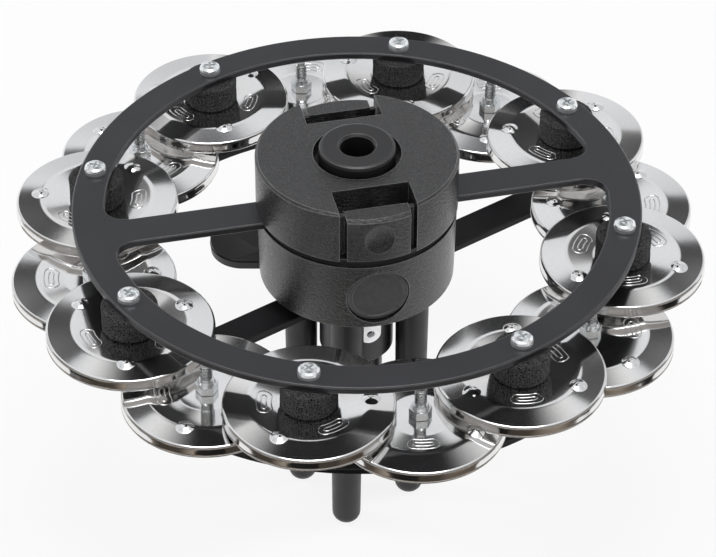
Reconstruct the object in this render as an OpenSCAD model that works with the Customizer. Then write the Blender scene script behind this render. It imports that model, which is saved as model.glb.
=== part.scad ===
// Hi-hat tambourine: two ring frames with steel jingles, worked by a hi-hat pedal.
// The lower ring stands on a column on the stand; the upper ring hangs from a hub on the pull rod.
// Millimetres, +Z up. The origin is the centre of the column's lower mouth.

/* [Frames] */
// Radius of the circle that the jingle screws stand on
screw_circle_r = 98; // [90:0.5:110]
// Width of each ring, inside edge to outside edge
ring_w = 12; // [10.5:0.5:16]
// Thickness of the two flat steel frames
plate_t = 2.9; // [1.5:0.1:3.5]
// Width of a spoke
spoke_w = 13.4; // [11:0.1:15]
// Radius of the fillets between spoke and ring
spoke_fillet = 7; // [4:0.5:10]
// Turn of the lower frame against the upper one
lower_turn = 22.5; // [22:0.1:23]
// Broken edge of the plates
edge_break = 0.4; // [0.2:0.05:0.6]

/* [Hub] */
// Radius of the hub's cap
hub_r = 37; // [35.5:0.5:40]
// Height of the cap above the upper frame
cap_h = 21.2; // [20.5:0.1:25]
// Thickness of the cap's top
cap_top_t = 2.7; // [2:0.1:4]
// Wall thickness of cap and housing
hub_wall = 2.6; // [2:0.1:3.4]
// Bright chamfer round the cap's top edge
cap_chamfer = 0.9; // [0.4:0.1:1.6]
// Height of the housing below the upper frame
housing_h = 28.7; // [26.5:0.1:34]
// Depth of the dark parting groove
groove_d = 1.6; // [1:0.1:2]
// Thickness of the housing's floor
floor_t = 6; // [5:0.1:8]
// Outer radius of the bushing that stands out of the cap
bushing_r = 14; // [12.5:0.1:14.5]
// How far the bushing stands above the cap
bushing_rise = 3.3; // [2:0.1:6]
// Radius of the bore for the rod and for the stand
bore_r = 6.2; // [5:0.05:6.6]
// Radius of the recess round the bushing
recess_r = 16; // [15.2:0.1:16.8]
// Depth of the recess round the bushing
recess_d = 6; // [3:0.5:9]
// Radius of the plain round badge
badge_r = 11.4; // [9:0.1:12]
// Height of the badge's centre above the housing's bottom
badge_up = 14; // [13:0.1:15]

/* [Squeeze tabs] */
// Width of a tab
tab_w = 23.3; // [21:0.1:25]
// Width of the notch it stands in
notch_w = 28.2; // [27:0.2:30]
// Distance from the axis to the notch's flat back wall
notch_back = 20.7; // [20.2:0.1:22]
// Distance from the axis to a tab's inner face
tab_inner = 29.2; // [29:0.1:30.5]
// Step from the cap's top down to the tab's top
tab_drop = 2.6; // [0.8:0.1:3]
// Radius of the thumb dimple
dimple_r = 6.6; // [4:0.1:7]
// Inward travel of a tab
tab_travel = 4; // [2:0.5:4.5]
// Thickness of the lock plates
lock_t = 2; // [1.5:0.1:2.2]
// Width of the lock plates
lock_w = 20; // [18:0.5:22]
// Wire diameter of the tab springs
spring_wire = 0.8; // [0.6:0.05:1]
// Middle radius of the tab springs
spring_r = 2.6; // [2.2:0.1:2.9]

/* [Guide legs] */
// Radius of the circle that the legs stand on
leg_circle_r = 21.2; // [21:0.1:22]
// Radius of a leg at the housing
leg_top_r = 6.4; // [5.5:0.1:6.6]
// Radius of a leg near its foot
leg_foot_r = 5.5; // [4.5:0.1:6]
// Length of a leg below the housing
leg_len = 110; // [90:0.5:130]
// Rounding of a leg's foot
leg_round = 4.5; // [2:0.1:4.5]
// Depth of the leg's socket in the housing's floor
leg_socket = 4; // [2:0.5:4.5]

/* [Column] */
// Radius of the column's tube
tube_r = 9.9; // [9:0.1:10.5]
// Length of the tube below the collar
tube_len = 25; // [15:0.5:40]
// Length of the taper between tube and collar
taper_len = 4.5; // [2:0.1:8]
// Radius of the collar
collar_r = 13.9; // [13:0.1:14]
// Length of the collar
collar_len = 26.9; // [25:0.1:34]
// Radius of the threaded stub above the collar
stub_r = 9.5; // [8.5:0.1:9.8]
// Height of the column nut
column_nut_h = 3; // [2.5:0.1:3.2]
// Width of the column nut over its flats
column_nut_af = 23.6; // [22:0.1:23.8]
// Height of the rubber bumper on the column nut
bumper_h = 2.3; // [1.8:0.1:6]
// Gap left between the bumper and the housing
bumper_gap = 0.3; // [0.2:0.05:0.6]

/* [Clamp lever] */
// Distance of the lever's pin from the axis
lever_pin_out = 21.3; // [21:0.1:22]
// Direction of the pin seen from the axis
lever_pin_turn = 123; // [121:0.5:125]
// Direction of the lever's arm
lever_turn = 128; // [125:0.5:131]
// Length of the arm from the pin to the middle of the paddle
lever_len = 33; // [31:0.5:36]
// Radius of the paddle's round ends
paddle_r = 13; // [10:0.1:13.2]
// Distance between the centres of the paddle's round ends
paddle_l = 5; // [3:0.1:5.5]
// Turn of the paddle against the arm
paddle_turn = 39; // [36:0.5:43]
// Thickness of the lever
lever_t = 9; // [8:0.1:10]
// Radius of the cam round the pin
cam_r = 4.5; // [4.2:0.1:4.6]
// Offset of the cam from the pin
cam_off = 0.4; // [0.3:0.05:0.5]
// Radius of the pin
lever_pin_r = 1.5; // [1.2:0.1:1.8]
// Radius of the clamp shoe
shoe_r = 2.4; // [2:0.1:2.8]

/* [Jingles] */
// Radius of a jingle
jingle_r = 30; // [26:0.5:31]
// Sheet thickness of a jingle
jingle_t = 0.9; // [0.6:0.05:1.1]
// Height of the turned-down flange
flange_h = 4.8; // [4:0.1:5]
// Depth of the dished middle below the crease
dish_d = 0.9; // [0.3:0.1:1.2]
// Fall of the rim from the crease to its edge
rim_drop = 0.5; // [0.2:0.1:0.8]
// Radius of the flat middle
seat_r = 10.6; // [10.3:0.1:12]
// Radius where the flat rim begins
rim_r = 20.7; // [18:0.1:22]
// Radius of a stamped bump
bump_r = 2.6; // [2:0.1:3]
// Height of a stamped bump
bump_h = 0.9; // [0.6:0.05:1.2]
// Depth of the upper jingles' seats below the upper frame
upper_drop = 9.9; // [9.6:0.1:11]
// Clear height between the upper jingles' flanges and the lower jingles when the hat is closed
jingle_gap = 0.5; // [0.4:0.1:2.5]
// Radius of the foam sleeves
foam_r = 10.2; // [8:0.1:10.4]
// Radius of the screws, an M4 thread
screw_r = 1.95; // [1.5:0.05:2]
// Radius of the pan heads
head_r = 4; // [3.4:0.1:4.4]
// Height of the pan heads
head_h = 3; // [2.4:0.1:3.2]
// How far the upper screws stand out of their nuts
upper_tip = 4.2; // [1:0.1:6]
// How far the lower screws stand out of their nuts
lower_tip = 7; // [1:0.1:8]
// Width of the lock nuts over their flats
nut_af = 7; // [6:0.1:7.5]
// Height of the lock nuts
nut_h = 5; // [4.5:0.1:5.5]

/* [Hidden] */
// Clearances: pieces seated in one another, and soft or loose pieces that lie on one another
seat_gap = 0.05;
touch_gap = 0.2;
small = 0.01;
count = 8;
step = 360 / count;
fine = 96;
mid = 48;
ring_out = screw_circle_r + ring_w / 2;
ring_in = screw_circle_r - ring_w / 2;

z_collar = tube_len + taper_len;
z_low_bot = z_collar + collar_len;
z_low_top = z_low_bot + plate_t;
z_house_bot = z_low_top + column_nut_h + bumper_h + bumper_gap;
z_up_bot = z_house_bot + housing_h;
z_up_top = z_up_bot + plate_t;
z_cap_top = z_up_top + cap_h;
z_bush_top = z_cap_top + bushing_rise;
house_r = hub_r - 0.4;
house_foot_r = house_r - 0.5;
disc_r = hub_r - groove_d;

// Hub screws, M3, from the housing's floor into posts in the cap
hub_screw_r = 1.45;
hub_head_r = 2.75;
hub_head_h = 2;
hub_post_r = 3.4;
hub_screw_at = hub_r - hub_wall - hub_post_r + 0.3;
hub_screw_rise = 10;

// Lock plates lie one above the other on the upper frame
lock_low = 0.6;
lock_step = lock_t + 0.4;
lock_room = lock_low + 2 * lock_step + 0.4;
lock_hole_r = bore_r + 0.05;
lock_end = bore_r + 6;
lock_grip = 3;
tab_low = 0.4;
tab_top = cap_h - tab_drop;
// Wider inner plate of a tab, which closes the notch behind it
tab_plate_t = 1.5;
tab_plate_gap = 0.4;
notch_wall = 1.8;
spring_up = 8.9;
spring_turns = 4;
spring_sides = 6;
spring_rings = 8;

// Lever levels and the fork that carries its pin
ear_gap = 0.3;
ear_top_t = 2.6;
ear_low_t = 2.4;
z_lever_top = z_low_bot - ear_top_t - ear_gap;
z_lever_bot = z_lever_top - lever_t;
z_lever_mid = (z_lever_top + z_lever_bot) / 2;
ear_r = 3.6;
arm_w = 8;
paddle_step = 3.3;
paddle_seam = 0.5;
facet_turn = 51;
facet_lean = 55;
facet_in = paddle_r - 6;
lever_pin_x = lever_pin_out * cos(lever_pin_turn);
lever_pin_y = lever_pin_out * sin(lever_pin_turn);

// Bright lug on the collar, turned to stand clear of the legs and lower spokes
lug_turn = 277.5;
lug_w = 8;
lug_h = 10.5;
lug_t = 2.2;
lug_hole_r = 1.6;
lug_flat = collar_r - 0.6;
z_lug = z_collar + 10.2;

// Levels of the jingles' seats, their upper face round the screw
z_up_seat = z_up_bot - upper_drop;
z_low_seat = z_up_seat - rim_drop - flange_h - jingle_gap - bump_h;
upper_screw_len = z_up_top - z_up_seat + jingle_t + touch_gap + nut_h + upper_tip;
lower_screw_len = z_low_seat + touch_gap + nut_h + lower_tip - z_low_bot;
jingle_hole_r = screw_r + 0.5;
plate_hole_r = screw_r + 0.15;
// How far each jingle happens to be turned on its screw
upper_spins = [18, 77, 41, 5, 54, 102, 30, 108];
lower_spins = [88, 33, 110, 52, 14, 50, 100, 45];

function upper_angle(k) = step / 2 + step * k;
function lower_angle(k) = lower_turn + step / 2 + step * k;
function leg_angle(k) = lower_turn + 45 + 90 * k;

// A flat ring with broken edges, standing on z = 0
module ring_plate(r_in, r_out, t) {
    rotate_extrude($fn = fine)
        polygon([
            [r_in + edge_break, 0], [r_out - edge_break, 0],
            [r_out, edge_break], [r_out, t - edge_break],
            [r_out - edge_break, t], [r_in + edge_break, t],
            [r_in, t - edge_break], [r_in, edge_break]
        ]);
}

// One spoke along +X from the hub to the ring, with broken long edges
module spoke(from, to) {
    translate([from, 0, 0])
        rotate([90, 0, 90])
            linear_extrude(to - from)
                polygon([
                    [-spoke_w / 2 + edge_break, 0], [spoke_w / 2 - edge_break, 0],
                    [spoke_w / 2, edge_break], [spoke_w / 2, plate_t - edge_break],
                    [spoke_w / 2 - edge_break, plate_t], [-spoke_w / 2 + edge_break, plate_t],
                    [-spoke_w / 2, plate_t - edge_break], [-spoke_w / 2, edge_break]
                ]);
}

// The fillet on the +Y side of a spoke along +X
module spoke_web() {
    cy = spoke_w / 2 + spoke_fillet;
    cr = ring_in - spoke_fillet;
    cx = sqrt(cr * cr - cy * cy);
    difference() {
        linear_extrude(plate_t)
            polygon([
                [cx, spoke_w / 2 - 1], [ring_in + 1, spoke_w / 2 - 1],
                [(ring_in + 1) * cx / cr, (ring_in + 1) * cy / cr], [cx, cy]
            ]);
        translate([cx, cy, -1])
            cylinder(r = spoke_fillet, h = plate_t + 2, $fn = mid);
    }
}

// A frame standing on z = 0: ring, two spokes and a middle disc
module frame_plate(middle_r, hole_r) {
    difference() {
        union() {
            ring_plate(ring_in, ring_out, plate_t);
            for (s = [0, 180])
                rotate([0, 0, s]) {
                    spoke(hole_r + 1, ring_in + 2);
                    spoke_web();
                    mirror([0, 1, 0]) spoke_web();
                }
            cylinder(r = middle_r, h = plate_t, $fn = fine);
        }
        translate([0, 0, -1])
            cylinder(r = hole_r, h = plate_t + 2, $fn = mid);
        for (k = [0:count - 1])
            rotate([0, 0, step / 2 + step * k])
                translate([screw_circle_r, 0, -1])
                    cylinder(r = plate_hole_r, h = plate_t + 2, $fn = mid);
    }
}

module at_hub_screws() {
    for (k = [0:3])
        rotate([0, 0, 45 + 90 * k])
            translate([hub_screw_at, 0, 0])
                children();
}

module at_legs() {
    for (k = [0:3])
        rotate([0, 0, leg_angle(k)])
            translate([leg_circle_r, 0, 0])
                children();
}

module upper_frame() {
    color([0.10, 0.10, 0.11])
        translate([0, 0, z_up_bot])
            difference() {
                frame_plate(disc_r, bushing_r + 0.4);
                at_hub_screws()
                    translate([0, 0, -1])
                        cylinder(r = hub_screw_r + 0.15, h = plate_t + 2, $fn = mid);
            }
}

// The cap: a shell with a notch front and rear, a seat for the bushing and four posts
module hub_cap() {
    color([0.12, 0.12, 0.13])
        translate([0, 0, z_up_top])
            difference() {
                union() {
                    difference() {
                        rotate_extrude($fn = fine)
                            polygon([
                                [0, 0], [hub_r, 0], [hub_r, cap_h - cap_chamfer],
                                [hub_r - cap_chamfer, cap_h], [0, cap_h]
                            ]);
                        translate([0, 0, -1])
                            cylinder(r = hub_r - hub_wall, h = cap_h - cap_top_t + 1, $fn = fine);
                    }
                    intersection() {
                        cylinder(r = hub_r - 1, h = cap_h - 1, $fn = fine);
                        for (s = [0, 180])
                            rotate([0, 0, s]) {
                                translate([-notch_w / 2 - notch_wall, notch_back - notch_wall, lock_room])
                                    cube([notch_w + 2 * notch_wall, notch_wall + 1, cap_h]);
                                for (x = [-notch_w / 2 - notch_wall, notch_w / 2 - 1])
                                    translate([x, notch_back - notch_wall, 0])
                                        cube([notch_wall + 1, hub_r, cap_h]);
                            }
                    }
                    translate([0, 0, lock_room + 0.4])
                        cylinder(r = recess_r + 1.8, h = cap_h - lock_room - 1, $fn = fine);
                    at_hub_screws()
                        cylinder(r = hub_post_r, h = cap_h - 1, $fn = mid);
                }
                for (s = [0, 180])
                    rotate([0, 0, s])
                        translate([-notch_w / 2, notch_back, -1])
                            cube([notch_w, hub_r, cap_h + 2]);
                translate([0, 0, -1])
                    cylinder(r = bushing_r + seat_gap, h = cap_h + 2, $fn = fine);
                translate([0, 0, cap_h - recess_d])
                    cylinder(r = recess_r, h = recess_d + 1, $fn = fine);
                at_hub_screws()
                    translate([0, 0, -1])
                        cylinder(r = hub_screw_r + seat_gap, h = hub_screw_rise + 2, $fn = mid);
            }
}

// The housing: a drafted cup with a guide tube, leg sockets and the badge's seat
module hub_housing() {
    guide_r = bushing_r - 2;
    badge_seat = house_foot_r - 3.4;
    color([0.12, 0.12, 0.13])
        translate([0, 0, z_house_bot])
            difference() {
                union() {
                    difference() {
                        rotate_extrude($fn = fine)
                            polygon([
                                [0, 0], [house_foot_r - 0.8, 0], [house_foot_r, 0.8],
                                [house_r, housing_h], [0, housing_h]
                            ]);
                        translate([0, 0, floor_t])
                            cylinder(r = house_foot_r - hub_wall, h = housing_h, $fn = fine);
                    }
                    cylinder(r = guide_r, h = housing_h + plate_t, $fn = fine);
                    at_hub_screws()
                        cylinder(r = hub_post_r, h = housing_h - 0.2, $fn = mid);
                    intersection() {
                        cylinder(r = house_foot_r - 1, h = housing_h, $fn = fine);
                        translate([-badge_r - 2, -house_r, 1])
                            cube([2 * badge_r + 4, house_r - badge_seat + 3, housing_h - 1.5]);
                    }
                }
                translate([0, 0, -1])
                    cylinder(r = bore_r, h = housing_h + plate_t + 2, $fn = fine);
                at_legs()
                    translate([0, 0, -1])
                        cylinder(r = leg_top_r + seat_gap, h = leg_socket + 1, $fn = mid);
                at_hub_screws() {
                    translate([0, 0, -1])
                        cylinder(r = hub_screw_r + 0.15, h = housing_h + 2, $fn = mid);
                    translate([0, 0, -1])
                        cylinder(r = hub_head_r + 0.2, h = hub_head_h + 2, $fn = mid);
                }
                translate([0, -badge_seat, badge_up])
                    rotate([90, 0, 0])
                        cylinder(r = badge_r + touch_gap, h = hub_r, $fn = fine);
            }
}

module hub_badge() {
    badge_seat = house_foot_r - 3.4;
    badge_t = 2;
    color([0.16, 0.16, 0.17])
        translate([0, -badge_seat, z_house_bot + badge_up])
            rotate([90, 0, 0])
                rotate_extrude($fn = fine)
                    polygon([
                        [0, 0], [badge_r, 0], [badge_r, badge_t - 0.5],
                        [badge_r - 0.5, badge_t], [badge_r - 1.6, badge_t], [badge_r - 2.1, badge_t - 0.5], [0, badge_t - 0.5]
                    ]);
}

// The bushing carries the bore's upper mouth, chamfered inside and rounded outside
module rod_bushing() {
    low = z_up_top + lock_room + 0.4;
    lip = 1.2;
    mouth = 0.8;
    color([0.07, 0.07, 0.08])
        rotate_extrude($fn = fine)
            polygon([
                [bore_r, low], [bushing_r, low], [bushing_r, z_bush_top - lip],
                [bushing_r - 0.35, z_bush_top - 0.35], [bushing_r - lip, z_bush_top],
                [bore_r + mouth, z_bush_top], [bore_r, z_bush_top - mouth]
            ]);
}

module hub_screws() {
    color([0.62, 0.63, 0.65])
        translate([0, 0, z_house_bot])
            at_hub_screws()
                difference() {
                    union() {
                        translate([0, 0, 1])
                            cylinder(r = hub_head_r, h = hub_head_h - 1 + small, $fn = mid);
                        translate([0, 0, hub_head_h - 0.5])
                            cylinder(r = hub_screw_r, h = housing_h + plate_t + hub_screw_rise - hub_head_h, $fn = mid);
                    }
                    for (a = [0, 90])
                        rotate([0, 0, a])
                            translate([-1.5, -0.35, 0])
                                cube([3, 0.7, 1.8]);
                }
}

// A drafted leg with a rounded foot, plugged into the housing's floor
module guide_leg(k) {
    top = z_house_bot;
    foot = z_house_bot - leg_len;
    color([0.11, 0.11, 0.12])
        rotate([0, 0, leg_angle(k)])
            translate([leg_circle_r, 0, 0])
                rotate_extrude($fn = mid)
                    polygon(concat(
                        [[0, foot]],
                        [for (a = [-90:15:0])
                            [leg_foot_r - leg_round + leg_round * cos(a), foot + leg_round + leg_round * sin(a)]],
                        [[leg_top_r, top], [leg_top_r, top + leg_socket - seat_gap], [0, top + leg_socket - seat_gap]]
                    ));
}

// A thumb tab, standing in the front notch; its foot is slotted for its lock plate
module tab(level) {
    slot_low = lock_low + level * lock_step - seat_gap;
    color([0.10, 0.10, 0.11])
        translate([0, 0, z_up_top])
            difference() {
                union() {
                    intersection() {
                        rotate_extrude($fn = fine)
                            polygon([
                                [0, tab_low], [hub_r, tab_low], [hub_r, tab_top - 1.2],
                                [hub_r - 1.2, tab_top], [0, tab_top]
                            ]);
                        translate([-tab_w / 2, -hub_r - 1, 0])
                            cube([tab_w, hub_r + 1 - tab_inner, cap_h]);
                    }
                    translate([-notch_w / 2 + tab_plate_gap, -tab_inner - tab_plate_t, tab_low])
                        cube([notch_w - 2 * tab_plate_gap, tab_plate_t, tab_top - tab_low - 0.8]);
                }
                translate([0, -hub_r - 2 * dimple_r + 1.6, tab_top / 2 + 0.3])
                    sphere(r = 2 * dimple_r, $fn = mid);
                translate([-lock_w / 2 - seat_gap, -tab_inner - lock_grip - seat_gap, slot_low])
                    cube([lock_w + 2 * seat_gap, lock_grip + 1, lock_t + 2 * seat_gap]);
            }
}

// A steel lock plate with a long hole: its far end meets the rod when the tab is let go
module lock_plate(level) {
    color([0.55, 0.56, 0.58])
        translate([0, 0, z_up_top + lock_low + level * lock_step])
            difference() {
                translate([-lock_w / 2, -tab_inner - lock_grip, 0])
                    cube([lock_w, tab_inner + lock_grip + lock_end, lock_t]);
                translate([-lock_hole_r, -tab_travel - 0.4, -1])
                    cube([2 * lock_hole_r, tab_travel + 0.4, lock_t + 2]);
                for (y = [0, -tab_travel - 0.4])
                    translate([0, y, -1])
                        cylinder(r = lock_hole_r, h = lock_t + 2, $fn = mid);
            }
}

// A compression spring between the notch's back wall and the tab, wound along -Y
function spring_point(i, n, len) =
    let (u = i / n, a = 360 * spring_turns * u)
    [spring_r * cos(a), -u * len, spring_r * sin(a)];
function spring_vertex(i, j, n, len) =
    let (u = i / n, a = 360 * spring_turns * u, b = 360 * j / spring_sides)
    spring_point(i, n, len)
        + spring_wire / 2 * [cos(b) * cos(a), sin(b), cos(b) * sin(a)];

module tab_spring() {
    from = notch_back + spring_wire / 2 + touch_gap;
    len = tab_inner - notch_back - spring_wire - 2 * touch_gap;
    n = spring_turns * spring_rings;
    s = spring_sides;
    points = [for (i = [0:n]) for (j = [0:s - 1]) spring_vertex(i, j, n, len)];
    sides = [for (i = [0:n - 1]) for (j = [0:s - 1]) for (h = [0, 1])
        let (p = i * s + j, q = i * s + (j + 1) % s)
        h == 0 ? [p, q, q + s] : [p, q + s, p + s]];
    ends = [[for (j = [s - 1:-1:0]) j], [for (j = [0:s - 1]) n * s + j]];
    echo(spring_gap = len / spring_turns - spring_wire);
    color([0.20, 0.20, 0.21])
        translate([0, -from, z_up_top + spring_up])
            polyhedron(points, concat(sides, ends));
}

module lower_frame() {
    color([0.10, 0.10, 0.11])
        translate([0, 0, z_low_bot])
            rotate([0, 0, lower_turn])
                frame_plate(collar_r - 0.5, stub_r + seat_gap);
}

// The column: tube, taper, collar and threaded stub, with the fork of the clamp lever
module lower_column() {
    ear_out = lever_pin_out - collar_r + 3;
    color([0.09, 0.09, 0.10])
        difference() {
            union() {
                rotate_extrude($fn = fine)
                    polygon([
                        [0, 0], [tube_r - 0.8, 0], [tube_r, 0.8], [tube_r, tube_len], [collar_r, z_collar],
                        [collar_r, z_low_bot], [stub_r, z_low_bot], [stub_r, z_low_top + column_nut_h], [0, z_low_top + column_nut_h]
                    ]);
                rotate([0, 0, lever_pin_turn])
                    for (lv = [[z_low_bot - ear_top_t, ear_top_t - seat_gap], [z_lever_bot - ear_gap - ear_low_t, ear_low_t]])
                        translate([0, 0, lv[0]]) {
                            translate([collar_r - 3, -ear_r, 0])
                                cube([ear_out, 2 * ear_r, lv[1]]);
                            translate([lever_pin_out, 0, 0])
                                cylinder(r = ear_r, h = lv[1], $fn = mid);
                        }
            }
            translate([0, 0, -1])
                cylinder(r = bore_r, h = z_up_top, $fn = fine);
            rotate([0, 0, lug_turn + 90])
                translate([-lug_w / 2 - 0.1, -collar_r - 1, z_lug - 0.1])
                    cube([lug_w + 0.2, collar_r + 1 - lug_flat, lug_h + 0.2]);
            rotate([0, 0, lever_pin_turn]) {
                translate([lever_pin_out, 0, z_lever_bot - ear_gap - ear_low_t - 1])
                    cylinder(r = lever_pin_r + seat_gap, h = z_low_bot, $fn = mid);
                translate([0, 0, z_lever_mid])
                    rotate([0, 90, 0])
                        cylinder(r = shoe_r + seat_gap, h = collar_r + 2, $fn = mid);
            }
        }
}

module column_nut() {
    color([0.60, 0.61, 0.63])
        translate([0, 0, z_low_top])
            difference() {
                cylinder(r = column_nut_af / sqrt(3), h = column_nut_h, $fn = 6);
                translate([0, 0, -1])
                    cylinder(r = stub_r + seat_gap, h = column_nut_h + 2, $fn = fine);
            }
}

// A rubber ring that the closing hub lands on
module bumper() {
    low = z_low_top + column_nut_h;
    high = low + bumper_h;
    round_r = 0.8;
    out_r = collar_r - 1.4;
    in_r = bore_r + 0.6;
    color([0.05, 0.05, 0.05])
        rotate_extrude($fn = fine)
            polygon([
                [in_r, low], [out_r - round_r, low], [out_r, low + round_r],
                [out_r, high - round_r], [out_r - round_r, high], [in_r, high]
            ]);
}

// A slab with two round ends along X, standing on z = 0, with a drafted wall
module round_slab(r_low, r_high, h) {
    for (x = [-paddle_l / 2, paddle_l / 2])
        translate([x, 0, 0])
            cylinder(r1 = r_low, r2 = r_high, h = h, $fn = fine);
    translate([-paddle_l / 2, 0, 0])
        rotate([90, 0, 90])
            linear_extrude(paddle_l)
                polygon([[-r_low, 0], [r_low, 0], [r_high, h], [-r_high, h]]);
}

// The paddle: a foot, a fine seam and a wall with a broken top edge and one slanting facet
module paddle() {
    wall_h = lever_t - paddle_step - paddle_seam - 0.7;
    round_slab(paddle_r - 0.3, paddle_r, paddle_step);
    translate([0, 0, paddle_step - small])
        round_slab(paddle_r - 0.5, paddle_r - 0.5, paddle_seam + 2 * small);
    difference() {
        union() {
            translate([0, 0, paddle_step + paddle_seam])
                round_slab(paddle_r - 0.1, paddle_r - 0.3, wall_h);
            translate([0, 0, lever_t - 0.7 - small])
                round_slab(paddle_r - 0.3, paddle_r - 1, 0.7 + small);
        }
        rotate([0, 0, facet_turn])
            translate([facet_in, 0, lever_t])
                rotate([0, -facet_lean, 0])
                    translate([0, -2 * paddle_r, -2 * lever_t])
                        cube([2 * paddle_r, 4 * paddle_r, 4 * lever_t]);
    }
}

// The lever: a cam round the pin, an arm and a paddle with round ends
module clamp_lever() {
    color([0.09, 0.09, 0.10])
        translate([lever_pin_x, lever_pin_y, z_lever_bot])
            difference() {
                union() {
                    rotate([0, 0, lever_pin_turn + 180])
                        translate([cam_off, 0, 0])
                            cylinder(r = cam_r, h = lever_t, $fn = fine);
                    rotate([0, 0, lever_turn]) {
                        translate([0, -arm_w / 2, 0.4])
                            cube([lever_len, arm_w, lever_t - 0.8]);
                        translate([lever_len, 0, 0])
                            rotate([0, 0, paddle_turn])
                                paddle();
                    }
                }
                translate([0, 0, -1])
                    cylinder(r = lever_pin_r + seat_gap, h = lever_t + 2, $fn = mid);
            }
}

module lever_pin() {
    low = z_lever_bot - ear_gap - ear_low_t;
    color([0.62, 0.63, 0.65])
        translate([lever_pin_x, lever_pin_y, low])
            cylinder(r = lever_pin_r, h = z_low_bot - low - 0.2, $fn = mid);
}

// The shoe that the cam presses through the collar's wall onto the stand's tube
module clamp_shoe() {
    from = bore_r + 0.35;
    to = lever_pin_out - cam_off - cam_r - touch_gap;
    color([0.75, 0.62, 0.35])
        rotate([0, 0, lever_pin_turn])
            translate([from, 0, z_lever_mid])
                rotate([0, 90, 0])
                    cylinder(r = shoe_r, h = to - from, $fn = mid);
}

// A bright lug with an eye, let into a flat on the collar
module collar_lug() {
    color([0.80, 0.80, 0.82])
        rotate([0, 0, lug_turn + 90])
            translate([0, -lug_flat, z_lug])
                difference() {
                    union() {
                        translate([-lug_w / 2, -lug_t, lug_w / 2])
                            cube([lug_w, lug_t, lug_h - lug_w / 2]);
                        translate([0, 0, lug_w / 2])
                            rotate([90, 0, 0])
                                cylinder(r = lug_w / 2, h = lug_t, $fn = mid);
                    }
                    translate([0, 1, lug_w / 2])
                        rotate([90, 0, 0])
                            cylinder(r = lug_hole_r, h = lug_t + 2, $fn = mid);
                }
}

// A pan-head screw standing on its head's underside at z = 0, shank downwards
module pan_screw(len) {
    slot_w = 0.9;
    slot_l = 4.2;
    difference() {
        union() {
            rotate_extrude($fn = mid)
                polygon([
                    [0, 0], [head_r, 0], [head_r, head_h * 0.45], [head_r * 0.93, head_h * 0.72],
                    [head_r * 0.72, head_h * 0.93], [head_r * 0.4, head_h], [0, head_h]
                ]);
            translate([0, 0, -len])
                cylinder(r1 = screw_r - 0.4, r2 = screw_r, h = 0.6 + small, $fn = mid);
            translate([0, 0, -len + 0.6])
                cylinder(r = screw_r, h = len, $fn = mid);
        }
        for (a = [0, 90])
            rotate([0, 0, a])
                translate([-slot_l / 2, -slot_w / 2, head_h - 1.6])
                    cube([slot_l, slot_w, 2]);
    }
}

// A lock nut standing on z = 0, its round collar upwards
module lock_nut() {
    hex_h = nut_h * 0.66;
    difference() {
        union() {
            intersection() {
                cylinder(r = nut_af / sqrt(3), h = hex_h, $fn = 6);
                cylinder(r1 = nut_af / 2 + 2, r2 = nut_af / 2 + 0.15, h = hex_h + 0.6, $fn = mid);
            }
            translate([0, 0, hex_h - small])
                cylinder(r1 = nut_af / 2 - 0.3, r2 = nut_af / 2 - 0.8, h = nut_h - hex_h + small, $fn = mid);
        }
        translate([0, 0, -1])
            cylinder(r = screw_r + seat_gap, h = nut_h + 2, $fn = mid);
    }
}

module upper_screws() {
    color([0.75, 0.76, 0.78])
        for (k = [0:count - 1])
            rotate([0, 0, upper_angle(k)])
                translate([screw_circle_r, 0, z_up_top])
                    rotate([0, 0, 29 * k])
                        pan_screw(upper_screw_len);
}

module upper_nuts() {
    color([0.75, 0.76, 0.78])
        for (k = [0:count - 1])
            rotate([0, 0, upper_angle(k)])
                translate([screw_circle_r, 0, z_up_seat - jingle_t - touch_gap])
                    rotate([180, 0, 17 * k])
                        lock_nut();
}

module lower_screws() {
    color([0.75, 0.76, 0.78])
        for (k = [0:count - 1])
            rotate([0, 0, lower_angle(k)])
                translate([screw_circle_r, 0, z_low_bot])
                    rotate([180, 0, 23 * k])
                        pan_screw(lower_screw_len);
}

module lower_nuts() {
    color([0.75, 0.76, 0.78])
        for (k = [0:count - 1])
            rotate([0, 0, lower_angle(k)])
                translate([screw_circle_r, 0, z_low_seat + touch_gap])
                    rotate([0, 0, 17 * k])
                        lock_nut();
}

module foam_tube(low, high) {
    color([0.06, 0.06, 0.06])
        translate([screw_circle_r, 0, low])
            difference() {
                cylinder(r = foam_r, h = high - low, $fn = mid);
                translate([0, 0, -1])
                    cylinder(r = screw_r + 0.1, h = high - low + 2, $fn = mid);
            }
}

module upper_foam(k) {
    rotate([0, 0, upper_angle(k)])
        foam_tube(z_up_seat + touch_gap, z_up_bot);
}

module lower_foam(k) {
    rotate([0, 0, lower_angle(k)])
        foam_tube(z_low_top, z_low_seat - jingle_t - touch_gap);
}

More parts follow.
